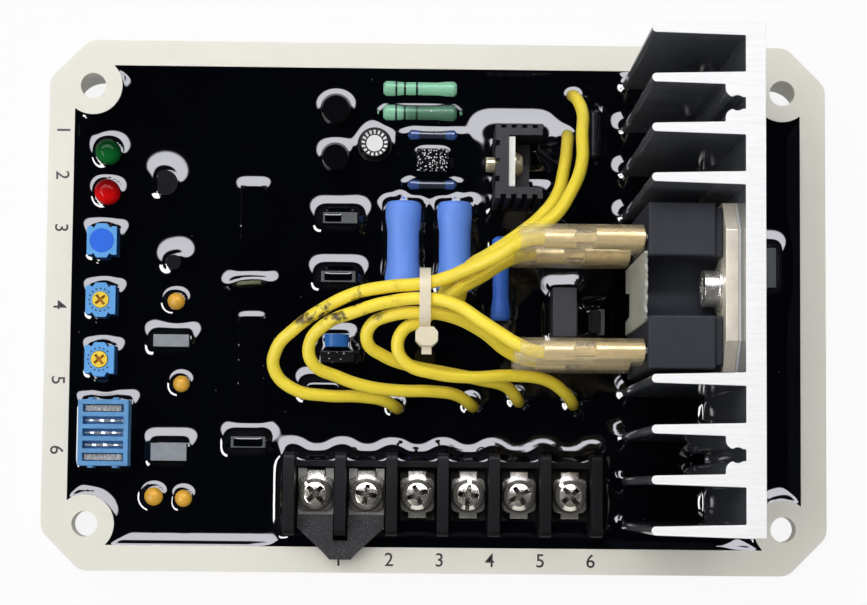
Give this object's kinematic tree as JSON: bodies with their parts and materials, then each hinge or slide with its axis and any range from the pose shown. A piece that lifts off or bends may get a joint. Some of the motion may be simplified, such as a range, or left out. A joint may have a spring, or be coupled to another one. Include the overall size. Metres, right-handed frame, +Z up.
{
  "type": "automatic voltage regulator",
  "caption": "Potted automatic voltage regulator: cream tray of black resin with a power module on a finned heat sink, looped yellow leads, trimmers and a screw terminal strip.",
  "frame": {"origin": "under the middle of the tray", "axes": "+X along the tray towards the heat sink, +Y towards the side away from the terminal strip, +Z up out of the tray"},
  "size_m": [0.135, 0.092, 0.0545],
  "materials": {
    "tray_plastic": "cream moulded plastic, satin",
    "board": "glass epoxy board, hidden in the resin",
    "resin": "black cast resin, glossy",
    "anodised": "black anodised extrusion, sawn ends bright",
    "steel": "plated steel",
    "module_plastic": "moulded epoxy, fine grain",
    "module_face": "pale cast face",
    "module_plate": "nickel plated copper, warm",
    "pad": "silicone pad",
    "nickel": "nickel plated",
    "tinned": "tinned copper",
    "brass": "pressed brass",
    "sleeve": "clear soft vinyl, slightly yellowed",
    "lead_yellow": "yellow vinyl insulation",
    "nylon": "natural nylon",
    "strip_plastic": "black moulded plastic",
    "trimmer_blue": "blue moulded plastic",
    "seal_blue": "blue sealing lacquer",
    "rotor_yellow": "yellow moulded plastic",
    "selector_blue": "blue moulded plastic",
    "lamp_green": "green clear lens, unlit",
    "lamp_red": "red clear lens, unlit",
    "bead_orange": "dipped epoxy",
    "case_grey": "grey moulded case",
    "case_black": "black case under a thin film of resin",
    "can": "bright drawn can",
    "chip_coat": "grainy black coat",
    "disc_olive": "lacquered ceramic disc",
    "capacitor_blue": "dipped epoxy",
    "resistor_green": "green lacquer with coloured bands",
    "resistor_dark": "blue lacquer",
    "resistor_blue": "blue flameproof lacquer",
    "clip": "black anodised, grainy",
    "transistor": "plated tab on a black body",
    "screw_gold": "yellow passivated steel",
    "case_tall": "dark grey moulded case"
  },
  "bodies": {
    "housing": {"tray": "tray_plastic", "circuit_board": "board", "potting_resin": "resin", "heat_sink": "anodised", "heat_sink_screws": "steel", "module_body": "module_plastic", "module_front": "module_face", "module_base": "module_plate", "thermal_pad": "pad", "module_screws": "nickel", "module_tabs": "tinned", "receptacles": "brass", "receptacle_sleeves": "sleeve", "lead_1": "lead_yellow", "lead_2": "lead_yellow", "lead_3": "lead_yellow", "lead_4": "lead_yellow", "lead_5": "lead_yellow", "lead_6": "lead_yellow", "cable_tie": "nylon", "terminal_body": "strip_plastic", "terminal_contacts": "nickel", "terminal_clamps": "nickel", "terminal_screws": "nickel", "link_cover": "strip_plastic", "link_fork": "nickel", "trimmer_1_body": "trimmer_blue", "trimmer_1_seal": "seal_blue", "trimmer_2_body": "trimmer_blue", "trimmer_3_body": "trimmer_blue", "selector_block": "selector_blue", "selector_contacts": "nickel", "lamp_green": "lamp_green", "lamp_red": "lamp_red", "bead_capacitors": "bead_orange", "grey_capacitors": "case_grey", "box_capacitors": "case_black", "electrolytics": "case_black", "can_capacitor": "can", "small_transistors": "case_black", "coated_chips": "chip_coat", "disc_capacitor": "disc_olive", "blue_capacitor": "capacitor_blue", "coated_box": "chip_coat", "green_resistors": "resistor_green", "small_resistors": "resistor_dark", "power_resistors": "resistor_blue", "slim_resistor": "resistor_blue", "clip_sink": "clip", "transistor": "transistor", "transistor_screw": "screw_gold", "tall_capacitor": "case_tall", "coated_diode": "chip_coat"},
    "stability_rotor": {"trimmer_2_rotor": "rotor_yellow"},
    "voltage_rotor": {"trimmer_3_rotor": "rotor_yellow"}
  },
  "joints": [
    {"name": "stability_turn", "type": "hinge", "parent": "housing", "child": "stability_rotor", "pos_m": [-0.0574, 0.0002, 0.0204], "axis": [0, 0, 1], "range_deg": [-120, 120]},
    {"name": "voltage_turn", "type": "hinge", "parent": "housing", "child": "voltage_rotor", "pos_m": [-0.0574, -0.01, 0.0204], "axis": [0, 0, 1], "range_deg": [-120, 120]}
  ]
}
